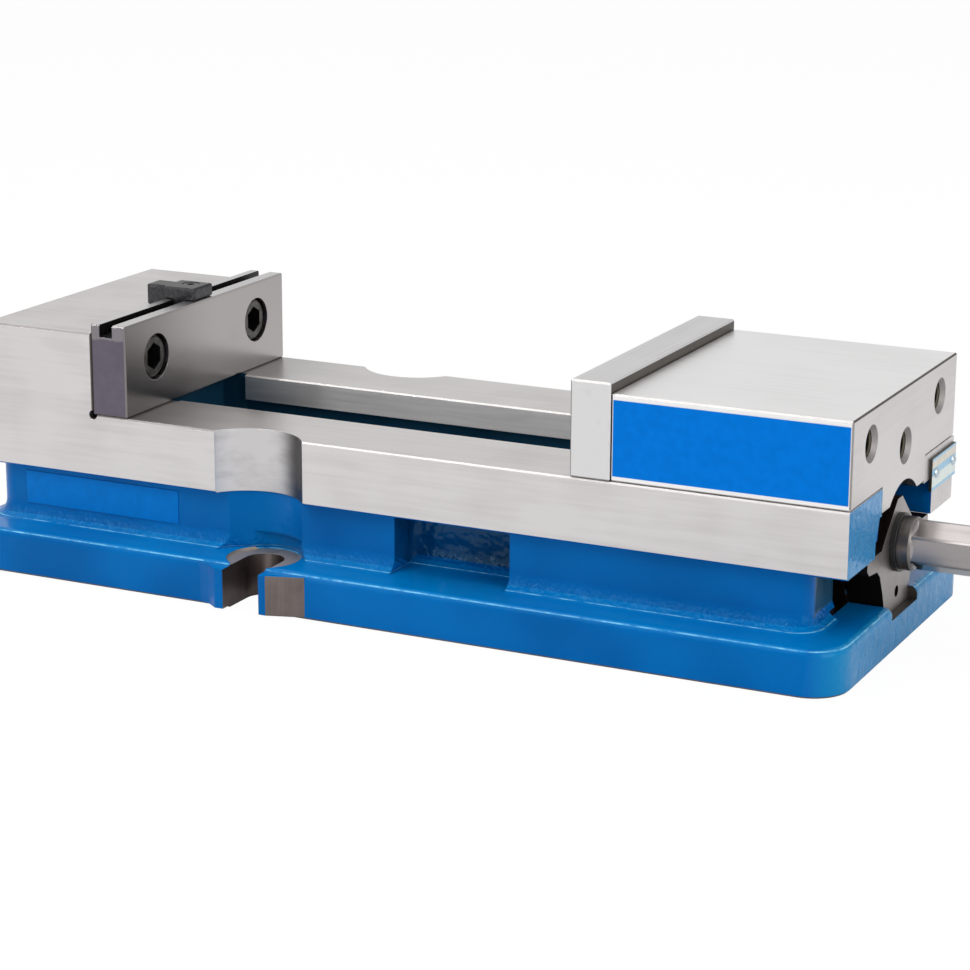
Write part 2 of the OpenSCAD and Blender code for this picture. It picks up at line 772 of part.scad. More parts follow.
module seal_ring() {
    color(black_rubber) translate([0, 0, axis_z]) difference() {
        bar_x(bracket_x + slide, bracket_x + slide + seal_t, seal_d);
        bar_x(bracket_x, bracket_x + seal_t + overlap, screw_d + 2 * fit);
    }
}

// Steel bracket that carries the screw and takes its thrust
module bearing_bracket() {
    color(ground_steel) difference() {
        along_x(bracket_back, bracket_x) bracket_outline();
        translate([0, 0, axis_z]) bar_x(bracket_back - overlap, bracket_x + overlap, screw_d + 2 * fit);
        for (side = [-1, 1]) translate([0, side * bracket_screw_y, bracket_screw_z])
            bar_x(bracket_back - overlap, bracket_back + bracket_screw_grip + 1, bracket_hole_d);
        translate([0, 0, flange_h + 1.6]) bar_x(bracket_back - overlap, bracket_x + overlap, pin_d);
    }
}

module bracket_screws() {
    high = bracket_screw_d - 0.2;
    long = wall_t - high + bracket_screw_grip;
    color(dark_steel) for (side = [-1, 1])
        translate([wall_x + 0.2, side * bracket_screw_y, bracket_screw_z])
            socket_screw(bracket_head_d, high, bracket_key_af, bracket_screw_d, long);
}

module bracket_pin() {
    color(dark_steel) translate([0, 0, flange_h + 1.6])
        bar_x(bracket_back - 4.5, bracket_x - 2, pin_d - 2 * fit);
}

function data_z() = bed_h - data_drop - data_h;
function data_y() = channel_w / 2 + data_margin;
function data_w() = jaw_y - 0.3 - data_y();
function data_rivet_y() = [data_y() + rivet_d + 0.8, jaw_y - rivet_d + 0.4];
function rivet_hole() = rivet_d * 0.55;

module data_plate() {
    color(ground_steel) difference() {
        translate([end_x, data_y(), data_z()]) cube([data_t, data_w(), data_h]);
        for (y = data_rivet_y()) translate([0, y, data_z() + data_h / 2])
            bar_x(end_x - overlap, end_x + data_t + overlap, rivet_hole());
    }
}

module data_plate_rivets() {
    color(ground_steel) for (y = data_rivet_y()) translate([0, y, data_z() + data_h / 2]) {
        bar_x(end_x - 3.5, end_x + data_t + 0.1, rivet_hole() - 2 * fit);
        translate([end_x + data_t, 0, 0]) rotate([0, 90, 0]) rotate_extrude() intersection() {
            translate([0, -rivet_d * 0.28]) circle(d = rivet_d * 1.13);
            square([rivet_d, rivet_d]);
        }
    }
}

module jaw_label() {
    color(label_blue) translate([jaw_x + chamfer + 0.3, -label_y - label_t, bed_h + label_margin])
        cube([jaw_l - 2 * chamfer - 0.6, label_t, block_h - 2 * label_margin]);
}

module body_label() {
    color(label_blue) translate([back_x + body_label_back, -web_w / 2 - label_t, flange_h + foot_r + 0.3])
        cube([body_label_l, label_t, body_label_h]);
}

body();
fixed_jaw_plate();
fixed_plate_screws();
work_stop();
work_stop_screw();
movable_jaw();
movable_jaw_plate();
movable_plate_screws();
jaw_nut();
half_ball();
jaw_set_screw();
lead_screw();
thrust_collar();
collar_pin();
fixed_race();
turning_race();
thrust_cage();
thrust_rollers();
seal_ring();
bearing_bracket();
bracket_screws();
bracket_pin();
data_plate();
data_plate_rivets();
jaw_label();
body_label();
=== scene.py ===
import math

import bpy
from mathutils import Matrix, Vector

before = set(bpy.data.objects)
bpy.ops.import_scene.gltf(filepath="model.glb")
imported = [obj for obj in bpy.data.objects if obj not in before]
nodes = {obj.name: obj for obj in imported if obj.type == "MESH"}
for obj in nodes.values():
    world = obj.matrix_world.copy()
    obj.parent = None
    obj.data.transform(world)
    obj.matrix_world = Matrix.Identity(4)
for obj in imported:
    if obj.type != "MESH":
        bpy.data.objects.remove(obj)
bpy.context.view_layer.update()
mm = 0.001


def linear(hexColour):  # sRGB hex to the linear colour that a shader takes
    parts = [int(hexColour[i:i + 2], 16) / 255 for i in (1, 3, 5)]
    return tuple(p / 12.92 if p <= 0.04045 else ((p + 0.055) / 1.055) ** 2.4 for p in parts) + (1.0,)


def addNode(tree, kind, settings=None, links=None):  # settings by socket or property, links by socket
    node = tree.nodes.new(kind)
    for key, value in (settings or {}).items():
        if isinstance(key, int):
            node.inputs[key].default_value = value
        elif hasattr(node, key):
            setattr(node, key, value)
        else:
            node.inputs[key].default_value = value
    for key, socket in (links or {}).items():
        tree.links.new(socket, node.inputs[key])
    return node


def startMaterial(name):
    material = bpy.data.materials.new(name)
    material.use_nodes = True
    tree = material.node_tree
    tree.nodes.clear()
    output = addNode(tree, "ShaderNodeOutputMaterial")
    place = addNode(tree, "ShaderNodeTexCoord").outputs["Object"]
    return material, tree, output, place


# What all the metals share: tone range, grain depth, the ragged edge of a worn zone, and the thread's flank and the
# painted shade in its root
metalSkin = {"rampFrom": 0.35, "rampTo": 0.65, "grainDepthMm": 0.02, "raggedMm": 2.0, "wornFromMm": 0.8,
             "wornToMm": 1.2, "flankFrom": 0.14, "flankTo": 0.34, "rootShadeShare": 0.25}


# Ground, milled or turned metal: faint streaks, soft blotches and edges that catch the light; real tool marks
# are too fine to show in the render, so the streaks are drawn as coarse as they need to show
def groundMetal(name, values):
    skinValues = metalSkin
    material, tree, output, place = startMaterial(name)
    streakScale = [1 / (size * mm) for size in values["streakMm"]]
    stretched = addNode(tree, "ShaderNodeMapping", {"Scale": streakScale}, {"Vector": place})
    streaks = addNode(tree, "ShaderNodeTexNoise", {"Scale": 1.0, "Detail": 3.0, "Roughness": 0.6},
                      {"Vector": stretched.outputs[0]})
    blotches = addNode(tree, "ShaderNodeTexNoise", {"Scale": 1 / (values["blotchMm"] * mm), "Detail": 2.0},
                       {"Vector": place})
    both = addNode(tree, "ShaderNodeMath", {"operation": "MULTIPLY_ADD", 1: values["blotchShare"]},
                   {0: blotches.outputs["Fac"], 2: streaks.outputs["Fac"]})
    tone = addNode(tree, "ShaderNodeValToRGB", {}, {"Fac": both.outputs[0]})
    tone.color_ramp.elements[0].position = skinValues["rampFrom"]
    tone.color_ramp.elements[1].position = skinValues["rampTo"] + values["blotchShare"]
    tone.color_ramp.elements[0].color = linear(values["dark"])
    tone.color_ramp.elements[1].color = linear(values["light"])
    colour = tone.outputs["Color"]
    # The darker zone is painted shade and reflection
    if "shade" in values:  # axis, where the darker zone starts and is full in mm, and its share of the tone
        axis, startMm, fullMm, share = values["shade"]
        along = addNode(tree, "ShaderNodeSeparateXYZ", {}, {"Vector": place}).outputs[axis]
        zone = addNode(tree, "ShaderNodeMapRange", {"From Min": startMm * mm, "From Max": fullMm * mm,
                       "To Min": 1.0, "To Max": share, "interpolation_type": "SMOOTHSTEP"}, {"Value": along})
        colour = addNode(tree, "ShaderNodeMix", {"data_type": "RGBA", "blend_type": "MULTIPLY", 0: 1.0},
                         {6: colour, 7: zone.outputs[0]}).outputs[2]
    if "worn" in values:  # tone and height in mm above which the surface is rubbed bare
        bareTone, bareMm = values["worn"]
        height = addNode(tree, "ShaderNodeSeparateXYZ", {}, {"Vector": place}).outputs["Z"]
        ragged = addNode(tree, "ShaderNodeMath", {"operation": "MULTIPLY_ADD", 1: skinValues["raggedMm"] * mm},
                         {0: blotches.outputs["Fac"], 2: height})
        bare = addNode(tree, "ShaderNodeMapRange", {"From Min": (bareMm + skinValues["wornFromMm"]) * mm,
                       "From Max": (bareMm + skinValues["wornToMm"]) * mm}, {"Value": ragged.outputs[0]})
        colour = addNode(tree, "ShaderNodeMix", {"data_type": "RGBA", 7: linear(bareTone)},
                         {0: bare.outputs[0], 6: colour}).outputs[2]
    polish = addNode(tree, "ShaderNodeMapRange",
                     {"To Min": values["roughness"][0], "To Max": values["roughness"][1]},
                     {"Value": streaks.outputs["Fac"]})
    rounded = addNode(tree, "ShaderNodeBevel", {"samples": 4, "Radius": values["edgeMm"] * mm})
    grain = addNode(tree, "ShaderNodeBump", {"Strength": values["bump"], "Distance": skinValues["grainDepthMm"] * mm},
                    {"Height": streaks.outputs["Fac"], "Normal": rounded.outputs[0]})
    # The darker thread root is painted shade
    if "helix" in values:  # left-hand thread: lead and axis height in mm, and its depth; the root is darker
        leadMm, axisMm, depthMm = values["helix"]
        apart = addNode(tree, "ShaderNodeSeparateXYZ", {}, {"Vector": place})
        above = addNode(tree, "ShaderNodeMath", {"operation": "SUBTRACT", 1: axisMm * mm},
                        {0: apart.outputs["Z"]})
        around = addNode(tree, "ShaderNodeMath", {"operation": "ARCTAN2"},
                         {0: above.outputs[0], 1: apart.outputs["Y"]})
        turns = addNode(tree, "ShaderNodeMath", {"operation": "MULTIPLY", 1: 1 / (2 * math.pi)},
                        {0: around.outputs[0]})
        phase = addNode(tree, "ShaderNodeMath", {"operation": "MULTIPLY_ADD", 1: 1 / (leadMm * mm)},
                        {0: apart.outputs["X"], 2: turns.outputs[0]})
        ridge = addNode(tree, "ShaderNodeMath", {"operation": "PINGPONG", 1: 0.5}, {0: phase.outputs[0]})
        flank = addNode(tree, "ShaderNodeMapRange", {"From Min": skinValues["flankFrom"],
                        "From Max": skinValues["flankTo"], "interpolation_type": "SMOOTHSTEP"},
                        {"Value": ridge.outputs[0]})
        grain = addNode(tree, "ShaderNodeBump", {"Strength": 1.0, "Distance": depthMm * mm},
                        {"Height": flank.outputs[0], "Normal": grain.outputs[0]})
        root = addNode(tree, "ShaderNodeMapRange", {"To Min": skinValues["rootShadeShare"], "To Max": 1.0},
                       {"Value": flank.outputs[0]})
        colour = addNode(tree, "ShaderNodeMix", {"data_type": "RGBA", "blend_type": "MULTIPLY", 0: 1.0},
                         {6: colour, 7: root.outputs[0]}).outputs[2]
    shader = addNode(tree, "ShaderNodeBsdfPrincipled", {"Metallic": 1.0},
                     {"Base Color": colour, "Roughness": polish.outputs[0], "Normal": grain.outputs[0]})
    tree.links.new(shader.outputs[0], output.inputs["Surface"])
    return material


# Tapped hole: thread rings along the hole, with painted shade darkening it as it goes in
def tapped(name, values):
    material, tree, output, place = startMaterial(name)
    rings = addNode(tree, "ShaderNodeTexWave", {"wave_type": "BANDS", "bands_direction": "X",
                    "Scale": math.pi / (10 * values["pitchMm"] * mm)}, {"Vector": place})
    depth = addNode(tree, "ShaderNodeSeparateXYZ", {}, {"Vector": place}).outputs["X"]
    inside = addNode(tree, "ShaderNodeMapRange", {"From Min": values["shadowMm"] * mm,
                     "From Max": values["mouthMm"] * mm}, {"Value": depth})
    tone = addNode(tree, "ShaderNodeValToRGB", {}, {"Fac": inside.outputs[0]})
    tone.color_ramp.elements[0].color = linear(values["dark"])
    tone.color_ramp.elements[1].color = linear(values["light"])
    thread = addNode(tree, "ShaderNodeBump", {"Strength": 1.0, "Distance": values["depthMm"] * mm},
                     {"Height": rings.outputs["Fac"]})
    shader = addNode(tree, "ShaderNodeBsdfPrincipled", {"Metallic": 1.0, "Roughness": values["roughness"]},
                     {"Base Color": tone.outputs["Color"], "Normal": thread.outputs[0]})
    tree.links.new(shader.outputs[0], output.inputs["Surface"])
    return material


# Bare data plate: blue anodised with two plain pale panels across it
def panelled(name, values):
    material, tree, output, place = startMaterial(name)
    height = addNode(tree, "ShaderNodeSeparateXYZ", {}, {"Vector": place}).outputs["Z"]
    grain = addNode(tree, "ShaderNodeTexNoise", {"Scale": 1 / (values["grainMm"] * mm)}, {"Vector": place})
    panels = addNode(tree, "ShaderNodeValToRGB", {}, {"Fac": addNode(tree, "ShaderNodeMapRange", {
        "From Min": values["bottomMm"] * mm, "From Max": values["topMm"] * mm}, {"Value": height}).outputs[0]})
    ramp = panels.color_ramp
    ramp.interpolation = "CONSTANT"
    for position, key in values["bands"]:
        (ramp.elements[0] if position == 0 else ramp.elements.new(position)).color = linear(values[key])
    ramp.elements.remove(ramp.elements[-1])
    tinted = addNode(tree, "ShaderNodeMix", {"data_type": "RGBA", "blend_type": "SOFT_LIGHT", 0: 0.35},
                     {6: panels.outputs["Color"], 7: grain.outputs["Fac"]})
    shader = addNode(tree, "ShaderNodeBsdfPrincipled", {"Metallic": 0.45, "Roughness": values["roughness"]},
                     {"Base Color": tinted.outputs[2]})
    tree.links.new(shader.outputs[0], output.inputs["Surface"])
    return material


# What all the enamels share; the two heights bound the beads along the foot of the webs
enamelSkin = {"cloudMm": 34, "dashMm": 4, "dashFrom": 0.32, "dashTo": 0.66, "highlightCore": 0.4, "footMm": (14.7, 15.3),
              "webMm": (20, 16), "flow": 0.5, "beading": 0.6, "peeling": 0.4, "ior": 1.36, "tint": "#1E9FC4",
              "coatRoughness": 0.04}


# Glossy blue stoving enamel over a sand casting: flowed lumps, orange peel, beads along the fillets and painted
# highlight lines at given heights
def enamel(name, values):
    skinValues = enamelSkin
    material, tree, output, place = startMaterial(name)
    lumps = addNode(tree, "ShaderNodeTexNoise", {"Scale": 1 / (values["lumpMm"] * mm), "Detail": 2.0},
                    {"Vector": place})
    peel = addNode(tree, "ShaderNodeTexNoise", {"Scale": 1 / (values["peelMm"] * mm), "Detail": 1.5},
                   {"Vector": place})
    shade = addNode(tree, "ShaderNodeTexNoise", {"Scale": 1 / (skinValues["cloudMm"] * mm), "Detail": 1.0},
                    {"Vector": place})
    tone = addNode(tree, "ShaderNodeValToRGB", {}, {"Fac": shade.outputs["Fac"]})
    tone.color_ramp.elements[0].position = 0.38
    tone.color_ramp.elements[1].position = 0.62
    tone.color_ramp.elements[0].color = linear(values["deep"])
    tone.color_ramp.elements[1].color = linear(values["fresh"])
    colour = tone.outputs["Color"]
    apart = addNode(tree, "ShaderNodeSeparateXYZ", {}, {"Vector": place})
    height = apart.outputs["Z"]
    # The lighter tone along X is painted light
    if "shade" in values:  # start and full place in mm along the object, and the tone there
        startMm, fullMm, fullTone = values["shade"]
        zone = addNode(tree, "ShaderNodeMapRange", {"From Min": startMm * mm, "From Max": fullMm * mm},
                       {"Value": apart.outputs["X"]})
        colour = addNode(tree, "ShaderNodeMix", {"data_type": "RGBA", 7: linear(fullTone)},
                         {0: zone.outputs[0], 6: colour}).outputs[2]
    broken = addNode(tree, "ShaderNodeTexNoise", {"Scale": 1 / (skinValues["dashMm"] * mm), "Detail": 3.0},
                     {"Vector": place})
    for highlightMm, halfMm in values["highlightLines"]:  # painted highlights: thin light lines along an edge at a given height
        away = addNode(tree, "ShaderNodeMath", {"operation": "SUBTRACT", 1: highlightMm * mm}, {0: height})
        span = addNode(tree, "ShaderNodeMath", {"operation": "ABSOLUTE"}, {0: away.outputs[0]})
        line = addNode(tree, "ShaderNodeMapRange", {"From Min": halfMm * mm,
                       "From Max": halfMm * skinValues["highlightCore"] * mm}, {"Value": span.outputs[0]})
        dashes = addNode(tree, "ShaderNodeMapRange", {"From Min": skinValues["dashFrom"],
                         "From Max": skinValues["dashTo"]}, {"Value": broken.outputs["Fac"]})
        rim = addNode(tree, "ShaderNodeMath", {"operation": "MULTIPLY"},
                      {0: line.outputs[0], 1: dashes.outputs[0]})
        colour = addNode(tree, "ShaderNodeMix", {"data_type": "RGBA", 7: linear(values["highlightTone"])},
                         {0: rim.outputs[0], 6: colour}).outputs[2]
    nearFoot, aboveFoot = (addNode(tree, "ShaderNodeMapRange", {"From Min": startMm * mm, "From Max": fullMm * mm},
                                   {"Value": height})
                           for startMm, fullMm in (skinValues["webMm"], skinValues["footMm"]))
    footShare = addNode(tree, "ShaderNodeMath", {"operation": "MULTIPLY"},
                        {0: nearFoot.outputs[0], 1: aboveFoot.outputs[0]})
    beads = addNode(tree, "ShaderNodeTexNoise", {"Scale": 1 / (values["beadMm"] * mm), "Detail": 1.0},
                    {"Vector": place})
    footBeads = addNode(tree, "ShaderNodeMath", {"operation": "MULTIPLY"},
                        {0: footShare.outputs[0], 1: beads.outputs["Fac"]})
    rounded = addNode(tree, "ShaderNodeBevel", {"samples": 4, "Radius": values["edgeMm"] * mm})
    flow = addNode(tree, "ShaderNodeBump",
                   {"Strength": skinValues["flow"], "Distance": values["lumpDepthMm"] * mm},
                   {"Height": lumps.outputs["Fac"], "Normal": rounded.outputs[0]})
    beaded = addNode(tree, "ShaderNodeBump",
                     {"Strength": skinValues["beading"], "Distance": values["beadDepthMm"] * mm},
                     {"Height": footBeads.outputs[0], "Normal": flow.outputs[0]})
    skin = addNode(tree, "ShaderNodeBump",
                   {"Strength": skinValues["peeling"], "Distance": values["peelDepthMm"] * mm},
                   {"Height": peel.outputs["Fac"], "Normal": beaded.outputs[0]})
    shader = addNode(tree, "ShaderNodeBsdfPrincipled",
                     {"Roughness": values["roughness"], "IOR": skinValues["ior"],
                      "Specular Tint": linear(skinValues["tint"]), "Coat Weight": values["coat"],
                      "Coat Roughness": skinValues["coatRoughness"]},
                     {"Base Color": colour, "Normal": skin.outputs[0], "Coat Normal": skin.outputs[0]})
    tree.links.new(shader.outputs[0], output.inputs["Surface"])
    return material


# Plain coated surfaces: black oxide, phosphate, rubber, rivets, cage and film; the grain is drawn as coarse as
# it needs to show
def coated(name, values):
    material, tree, output, place = startMaterial(name)
    grain = addNode(tree, "ShaderNodeTexNoise", {"Scale": 1 / (values["grainMm"] * mm), "Detail": 2.0},
                    {"Vector": place})
    tone = addNode(tree, "ShaderNodeValToRGB", {}, {"Fac": grain.outputs["Fac"]})
    tone.color_ramp.elements[0].position = 0.35
    tone.color_ramp.elements[1].position = 0.65
    tone.color_ramp.elements[0].color = linear(values["dark"])
    tone.color_ramp.elements[1].color = linear(values["light"])
    rounded = addNode(tree, "ShaderNodeBevel", {"samples": 4, "Radius": values["edgeMm"] * mm})
    bump = addNode(tree, "ShaderNodeBump", {"Strength": values["bump"], "Distance": values["depthMm"] * mm},
                   {"Height": grain.outputs["Fac"], "Normal": rounded.outputs[0]})
    shader = addNode(tree, "ShaderNodeBsdfPrincipled",
                     {"Metallic": values["metallic"], "Roughness": values["roughness"],
                      "Specular Tint": linear(values.get("tint", "#FFFFFF"))},
                     {"Base Color": tone.outputs["Color"], "Normal": bump.outputs[0]})
    tree.links.new(shader.outputs[0], output.inputs["Surface"])
    return material


# Glossy sprayed blue, wavy over the sand casting, with painted highlight lines along the flange's top edge and the
# web's foot
blueEnamel = enamel("blueStovingEnamel", {
    "deep": "#00579D", "fresh": "#0063AC", "lumpMm": 9.0, "lumpDepthMm": 0.9, "peelMm": 1.6, "peelDepthMm": 0.1,
    "beadMm": 1.3, "beadDepthMm": 1.2, "edgeMm": 0.8, "roughness": 0.24, "coat": 0.05,
    "highlightLines": ((14.05, 0.2), (15.0, 0.1)), "highlightTone": "#7CC8EA"})
# Lighter on level faces: painted light from above, with the same painted highlight lines
litTopEnamel = enamel("paintedLightTopEnamel", {
    "deep": "#006CB4", "fresh": "#0076BC", "lumpMm": 12.0, "lumpDepthMm": 0.6, "peelMm": 1.6, "peelDepthMm": 0.05,
    "beadMm": 1.3, "beadDepthMm": 1.0, "edgeMm": 0.8, "roughness": 0.24, "coat": 0.08,
    "highlightLines": ((14.05, 0.2), (15.0, 0.1)), "highlightTone": "#7CC8EA"})
# Turns lighter towards the drive end, painted light from the fill lamp; bubbly there
litEndEnamel = enamel("beadedLitEndEnamel", {
    "deep": "#005A9F", "fresh": "#0064AD", "lumpMm": 5.0, "lumpDepthMm": 0.9, "peelMm": 1.5, "peelDepthMm": 0.35,
    "beadMm": 1.3, "beadDepthMm": 0.5, "edgeMm": 0.8, "roughness": 0.22, "coat": 0.14,
    "highlightLines": ((14.05, 0.2),), "highlightTone": "#7CC8EA", "shade": (237.5, 245.0, "#0C7CB4")})
# Darker in the pockets, painted shade in the recess, with a broken shine
shadedPocketEnamel = enamel("pocketShadeEnamel", {
    "deep": "#003A62", "fresh": "#004A7C", "lumpMm": 7.0, "lumpDepthMm": 3.0, "peelMm": 1.6, "peelDepthMm": 0.1,
    "beadMm": 1.3, "beadDepthMm": 0.5, "edgeMm": 0.8, "roughness": 0.2, "coat": 0.25, "highlightLines": ()})
# Darker enamel inside the channel, under the fixed plate and on the hidden end walls: painted shade
shadedEnamel = enamel("oiledStovingEnamel", {
    "deep": "#173F58", "fresh": "#204C68", "lumpMm": 6.0, "lumpDepthMm": 0.8, "peelMm": 1.6, "peelDepthMm": 0.2,
    "beadMm": 2.6, "beadDepthMm": 0.3, "edgeMm": 0.8, "roughness": 0.3, "coat": 0.25, "highlightLines": ()})
# Surface-ground sides: long faint streaks and a soft shine
groundIron = groundMetal("groundCastIron", {
    "streakMm": (46, 2.2, 2.2), "blotchMm": 24.0, "blotchShare": 0.8, "dark": "#B5B1B0", "light": "#CBC8C7",
    "roughness": (0.34, 0.46), "edgeMm": 0.3, "bump": 0.12})
# Ground finer than the sides, darker towards the fixed jaw: painted shadow and reflection of the jaw
bedIron = groundMetal("groundBedIron", {
    "streakMm": (46, 2.2, 2.2), "blotchMm": 24.0, "blotchShare": 0.8, "dark": "#BCB8B6", "light": "#D0CDCB",
    "roughness": (0.26, 0.36), "edgeMm": 0.3, "bump": 0.08, "shade": ("X", 40, 0, 0.66)})
# End-milled curve, darker towards its far side: painted reflection of the notch's dark far wall
notchIron = groundMetal("milledNotchIron", {
    "streakMm": (9, 9, 3), "blotchMm": 12.0, "blotchShare": 0.8, "dark": "#A19E9F", "light": "#C2C0C0",
    "roughness": (0.3, 0.42), "edgeMm": 0.2, "bump": 0.12, "shade": ("X", 50, 60, 0.22)})
# Finish-ground block, almost white
jawIron = groundMetal("finishGroundIron", {
    "streakMm": (60, 1.4, 1.4), "blotchMm": 40.0, "blotchShare": 0.8, "dark": "#DCDBDA", "light": "#E8E7E7",
    "roughness": (0.3, 0.38), "edgeMm": 0.2, "bump": 0.06})
# End face ground across, darker than the block: painted shade
jawRearIron = groundMetal("groundJawEndIron", {
    "streakMm": (2.2, 60, 2.2), "blotchMm": 30.0, "blotchShare": 0.8, "dark": "#C2BEBD", "light": "#D0CDCC",
    "roughness": (0.36, 0.46), "edgeMm": 0.3, "bump": 0.1})
# Brushed channel wall, bright
landIron = groundMetal("brushedLandIron", {
    "streakMm": (30, 2.0, 1.2), "blotchMm": 18.0, "blotchShare": 0.5, "dark": "#E4E2E1", "light": "#F8F7F7",
    "roughness": (0.4, 0.5), "edgeMm": 0.2, "bump": 0.06})
# Stoned chamfer, a lighter tone where an edge should read bright: painted light
brightEdge = groundMetal("litStonedEdge", {
    "streakMm": (8, 8, 8), "blotchMm": 10.0, "blotchShare": 0.5, "dark": "#A4A19F", "light": "#B8B5B3",
    "roughness": (0.44, 0.54), "edgeMm": 0.2, "bump": 0.1})
# Plain ground chamfer, duller and darker: painted shade
softEdge = groundMetal("softGroundEdge", {
    "streakMm": (8, 8, 8), "blotchMm": 10.0, "blotchShare": 0.5, "dark": "#837F7D", "light": "#928E8C",
    "roughness": (0.5, 0.6), "edgeMm": 0.3, "bump": 0.1})
# Oily edge or gap, brown and nearly black; on the data plate's sides and in the bracket's seat it is painted shadow
darkEdge = groundMetal("oiledEdgeAndShadow", {
    "streakMm": (8, 8, 8), "blotchMm": 10.0, "blotchShare": 0.5, "dark": "#4A4642", "light": "#5E5953",
    "roughness": (0.4, 0.5), "edgeMm": 0.1, "bump": 0.1})
# Slots and keyways: upright cutter marks, brown grey
milledIron = groundMetal("milledCastIron", {
    "streakMm": (3, 3, 40), "blotchMm": 9.0, "blotchShare": 0.9, "dark": "#4E4643", "light": "#706764",
    "roughness": (0.32, 0.46), "edgeMm": 0.2, "bump": 0.12})
# Spotface ring, warm grey and matt
spotIron = groundMetal("spotfacedIron", {
    "streakMm": (6, 6, 6), "blotchMm": 6.0, "blotchShare": 1.2, "dark": "#8C7F74", "light": "#B8ADA2",
    "roughness": (0.5, 0.6), "edgeMm": 0.2, "bump": 0.1})
# Near black iron for the recesses and hidden sides: painted shadow
shadowIron = groundMetal("shadowBlackCastIron", {
    "streakMm": (2, 2, 2), "blotchMm": 8.0, "blotchShare": 0.6, "dark": "#14100E", "light": "#221C19",
    "roughness": (0.6, 0.8), "edgeMm": 0.3, "bump": 0.6})
# Rolled plate, plain mid grey
bracketSteel = groundMetal("rolledBracketSteel", {
    "streakMm": (9, 3, 30), "blotchMm": 12.0, "blotchShare": 0.9, "dark": "#817B79", "light": "#9A9492",
    "roughness": (0.34, 0.46), "edgeMm": 0.3, "bump": 0.1})
# Lapped face that mirrors the channel, darker at its near end: painted reflection
groundSteel = groundMetal("lappedToolSteel", {
    "streakMm": (4, 90, 9), "blotchMm": 46.0, "blotchShare": 1.6, "dark": "#8D8987", "light": "#A5A1A0",
    "roughness": (0.2, 0.27), "edgeMm": 0.3, "bump": 0.02, "shade": ("Y", 10, -52, 0.5)})
# Ground along the plate, fine lines across the view
plateTopSteel = groundMetal("groundPlateTop", {
    "streakMm": (1.2, 60, 1.2), "blotchMm": 46.0, "blotchShare": 0.9, "dark": "#B5B2B2", "light": "#CAC8C8",
    "roughness": (0.24, 0.32), "edgeMm": 0.2, "bump": 0.08})
# Freshly ground plate, light
lightSteel = groundMetal("freshGroundSteel", {
    "streakMm": (1.2, 60, 1.2), "blotchMm": 30.0, "blotchShare": 0.8, "dark": "#C2C0C0", "light": "#D2D1D1",
    "roughness": (0.24, 0.34), "edgeMm": 0.2, "bump": 0.1})
# End sanded by hand in swirls
swirlSteel = groundMetal("sandedPlateEnd", {
    "streakMm": (9, 9, 5), "blotchMm": 5.0, "blotchShare": 1.4, "dark": "#BDBBBB", "light": "#CFCECE",
    "roughness": (0.26, 0.4), "edgeMm": 0.3, "bump": 0.2})
# Violet grey hardening scale, rubbed bare at the top
plateEndSteel = groundMetal("hardenedSteelScale", {
    "streakMm": (5, 5, 5), "blotchMm": 2.6, "blotchShare": 0.5, "dark": "#5C5762", "light": "#66616C",
    "roughness": (0.4, 0.5), "edgeMm": 0.5, "bump": 0.2, "worn": ("#7E7B7F", 79.4)})
# Fine turned rings round the axis
turnedSteel = groundMetal("turnedSteel", {
    "streakMm": (0.6, 9, 9), "blotchMm": 16.0, "blotchShare": 0.8, "dark": "#9C9896", "light": "#B2AFAD",
    "roughness": (0.24, 0.32), "edgeMm": 0.2, "bump": 0.08})
# Drawn bar, long smooth flats with clear reflections
hexSteel = groundMetal("drawnHexSteel", {
    "streakMm": (60, 3, 3), "blotchMm": 20.0, "blotchShare": 1.0, "dark": "#7C7877", "light": "#948F8E",
    "roughness": (0.15, 0.2), "edgeMm": 0.6, "bump": 0.01})
# Rolled thread: light crests over a root darkened by painted shade
threadSteel = groundMetal("rolledThreadSteel", {
    "streakMm": (0.6, 9, 9), "blotchMm": 16.0, "blotchShare": 0.8, "dark": "#8C8886", "light": "#A5A2A0",
    "roughness": (0.24, 0.32), "edgeMm": 0.2, "bump": 0.08, "helix": (5.08, 32.0, 0.8)})
# Dark polished journal beside the seal
journalSteel = groundMetal("darkJournalSteel", {
    "streakMm": (0.7, 12, 12), "blotchMm": 10.0, "blotchShare": 0.6, "dark": "#5E5A58", "light": "#7F7A77",
    "roughness": (0.3, 0.38), "edgeMm": 0.3, "bump": 0.02})
# Thread rings, with painted shade that goes dark down the hole
tappedIron = tapped("tappedIron", {
    "pitchMm": 1.5, "depthMm": 0.16, "mouthMm": 244.2, "shadowMm": 240.5, "dark": "#12100E", "light": "#96907F",
    "roughness": 0.4})
# Blackened screws and collar, fine dull grain
blackOxide = coated("blackOxideSteel", {
    "dark": "#1F1E1F", "light": "#2D2C2D", "grainMm": 1.2, "bump": 0.3, "depthMm": 0.05, "edgeMm": 0.3,
    "metallic": 0.85, "roughness": 0.4})
# Screw head worn to a dark grey
headOxide = coated("wornOxideHead", {
    "dark": "#3F3D3B", "light": "#595653", "grainMm": 2.0, "bump": 0.3, "depthMm": 0.05, "edgeMm": 0.5,
    "metallic": 0.9, "roughness": 0.34})
# Phosphated stop, dark grey with a mottled grain
stopSteel = coated("phosphatedSteel", {
    "dark": "#2E2E30", "light": "#444447", "grainMm": 1.0, "bump": 0.5, "depthMm": 0.1, "edgeMm": 1.0,
    "metallic": 0.6, "roughness": 0.34})
# Its top, darker
stopTopSteel = coated("darkerStopTop", {
    "dark": "#1A1A1C", "light": "#29292C", "grainMm": 1.0, "bump": 0.3, "depthMm": 0.05, "edgeMm": 0.3,
    "metallic": 0.8, "roughness": 0.34})
